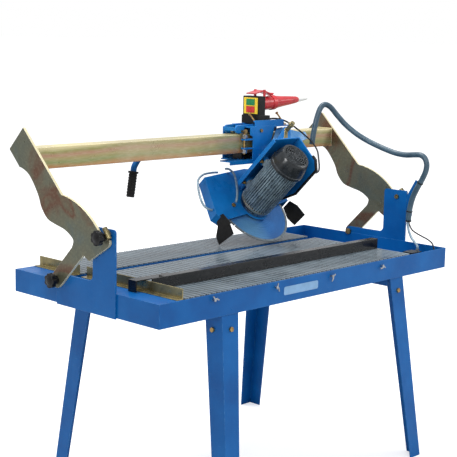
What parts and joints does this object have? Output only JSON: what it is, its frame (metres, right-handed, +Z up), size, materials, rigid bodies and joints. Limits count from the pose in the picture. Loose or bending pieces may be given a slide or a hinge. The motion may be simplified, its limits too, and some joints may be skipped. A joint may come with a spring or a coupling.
{
  "type": "wet tile saw",
  "caption": "Bridge wet tile saw: water tray on splayed legs, tilting arms and beam, sliding carriage with plunging motor head, guarded diamond blade, fence and pump.",
  "frame": {"origin": "on the floor, under the middle of the tray", "axes": "+X along the bridge towards the pump end, +Y to the back, +Z up"},
  "size_m": [1.6866, 0.9298, 1.42],
  "materials": {
    "blue_paint": "gloss powder coat",
    "yellow_zinc": "yellow chromate zinc, iridescent",
    "steel": "machined",
    "gold_bolt": "yellow zinc-plated steel fasteners",
    "mat_rubber": "ribbed, wet sheen",
    "black_rubber": "matt",
    "black_plastic": "moulded",
    "black_metal": "satin",
    "motor_paint": "grey-blue enamel",
    "cover_paint": "dark grey enamel",
    "bell_alloy": "cast",
    "blade_steel": "blue coated steel core",
    "red_plastic": "moulded",
    "red_button": "moulded",
    "green_button": "moulded",
    "yellow_plastic": "moulded",
    "white_plastic": "moulded",
    "grey_plastic": "moulded",
    "conduit": "smooth flexible conduit",
    "clear_hose": "clear flexible tube"
  },
  "bodies": {
    "table": {"tray": "blue_paint", "deck": "blue_paint", "mats": "mat_rubber", "end_rails": "yellow_zinc", "bracket_left": "blue_paint", "bracket_right": "blue_paint", "frame_bolts": "gold_bolt", "tilt_stops": "yellow_zinc", "legs_front": "blue_paint", "legs_back": "blue_paint", "leg_braces": "blue_paint", "front_hooks": "steel", "pump_body": "black_plastic", "pump_outlet": "grey_plastic", "hose_mast": "blue_paint", "hose_ties": "black_plastic", "conduit_lower": "conduit", "water_hose": "clear_hose", "pump_cable": "black_rubber"},
    "bridge": {"arm_left": "yellow_zinc", "arm_right": "yellow_zinc", "beam": "yellow_zinc"},
    "pivot_knob_l": {"pivot_knob_left": "black_plastic"},
    "pivot_knob_r": {"pivot_knob_right": "black_plastic"},
    "clamp_knob_l": {"clamp_knob_left": "black_plastic"},
    "clamp_knob_r": {"clamp_knob_right": "black_plastic"},
    "fence": {"fence_bar": "black_metal"},
    "carriage": {"carriage_front": "blue_paint", "carriage_back": "blue_paint", "carriage_wing": "blue_paint", "carriage_bolts": "gold_bolt", "slide_pads": "black_plastic", "plunge_pin": "yellow_zinc", "switch_box": "black_plastic", "switch_plate": "yellow_plastic", "coupler": "red_plastic", "gland_tips": "white_plastic", "handle_tube": "blue_paint", "grip": "black_rubber", "conduit_upper": "conduit", "motor_cable": "black_rubber"},
    "roller_fl": {"roller_front_left": "steel"},
    "roller_fr": {"roller_front_right": "steel"},
    "roller_tl": {"roller_top_left": "steel"},
    "roller_tr": {"roller_top_right": "steel"},
    "start": {"start_button": "green_button"},
    "stop": {"stop_button": "red_button"},
    "lid": {"coupler_lid": "red_plastic"},
    "head": {"cradle": "blue_paint", "cradle_trim": "black_rubber", "motor_body": "motor_paint", "end_bell": "bell_alloy", "fan_cover": "cover_paint", "guard": "blue_paint", "head_bolts": "gold_bolt", "flaps": "black_rubber", "guard_hose": "clear_hose"},
    "rotor": {"blade": "blade_steel", "arbor": "steel", "fan": "black_plastic"}
  },
  "joints": [
    {"name": "bridge_tilt", "type": "hinge", "parent": "table", "child": "bridge", "pos_m": [0, 0.1195, 0.804], "axis": [1, 0, 0], "range_deg": [0, 45], "deforming": ["conduit_lower"]},
    {"name": "carriage_slide", "type": "slide", "parent": "bridge", "child": "carriage", "axis": [1, 0, 0], "range_m": [-0.85, 0.1], "deforming": ["conduit_upper"]},
    {"name": "head_plunge", "type": "hinge", "parent": "carriage", "child": "head", "pos_m": [0.438, 0.19587, 1.24806], "axis": [0, -0.7071, 0.7071], "range_deg": [-2, 8], "deforming": ["motor_cable", "flaps"]},
    {"name": "blade_spin", "type": "hinge", "parent": "head", "child": "rotor", "pos_m": [0.303, 0.25173, 0.93623], "axis": [0, 0.7071, -0.7071], "continuous": true},
    {"name": "fence_slide", "type": "slide", "parent": "table", "child": "fence", "axis": [0, 1, 0], "range_m": [-0.15, 0.245]},
    {"name": "start_press", "type": "slide", "parent": "carriage", "child": "start", "axis": [1, 0, 0], "range_m": [0, 0.003], "stiffness_N_per_m": 900, "springref_m": -0.001},
    {"name": "stop_press", "type": "slide", "parent": "carriage", "child": "stop", "axis": [1, 0, 0], "range_m": [0, 0.003], "stiffness_N_per_m": 900, "springref_m": -0.001},
    {"name": "lid_latch", "type": "hinge", "parent": "carriage", "child": "lid", "pos_m": [0.367, 0.2805, 1.4154], "axis": [0, 1, 0], "range_deg": [-6, 0], "stiffness_Nm_per_rad": 0.4, "springref_deg": 8.59},
    {"name": "pivot_knob_left_turn", "type": "hinge", "parent": "table", "child": "pivot_knob_l", "pos_m": [-0.821, 0.1195, 0.804], "axis": [1, 0, 0], "range_deg": [0, 540]},
    {"name": "pivot_knob_right_turn", "type": "hinge", "parent": "table", "child": "pivot_knob_r", "pos_m": [0.821, 0.1195, 0.804], "axis": [1, 0, 0], "range_deg": [0, 540]},
    {"name": "clamp_knob_left_turn", "type": "hinge", "parent": "table", "child": "clamp_knob_l", "pos_m": [-0.821, -0.1275, 0.983], "axis": [1, 0, 0], "range_deg": [0, 540]},
    {"name": "clamp_knob_right_turn", "type": "hinge", "parent": "table", "child": "clamp_knob_r", "pos_m": [0.821, -0.1275, 0.983], "axis": [1, 0, 0], "range_deg": [0, 540]},
    {"name": "roller_fl_spin", "type": "hinge", "parent": "carriage", "child": "roller_fl", "pos_m": [0.229, 0.23092, 1.20564], "axis": [0, 0, 1], "continuous": true},
    {"name": "roller_fr_spin", "type": "hinge", "parent": "carriage", "child": "roller_fr", "pos_m": [0.431, 0.23092, 1.20564], "axis": [0, 0, 1], "continuous": true},
    {"name": "roller_tl_spin", "type": "hinge", "parent": "carriage", "child": "roller_tl", "pos_m": [0.229, 0.28072, 1.25544], "axis": [0, 1, 0], "continuous": true},
    {"name": "roller_tr_spin", "type": "hinge", "parent": "carriage", "child": "roller_tr", "pos_m": [0.431, 0.28072, 1.25544], "axis": [0, 1, 0], "continuous": true}
  ],
  "couplings": [
    {"joint": "roller_fl_spin", "follows": "carriage_slide", "rad_per_m": 83.333},
    {"joint": "roller_fr_spin", "follows": "carriage_slide", "rad_per_m": 83.333},
    {"joint": "roller_tl_spin", "follows": "carriage_slide", "rad_per_m": 83.333},
    {"joint": "roller_tr_spin", "follows": "carriage_slide", "rad_per_m": 83.333}
  ]
}
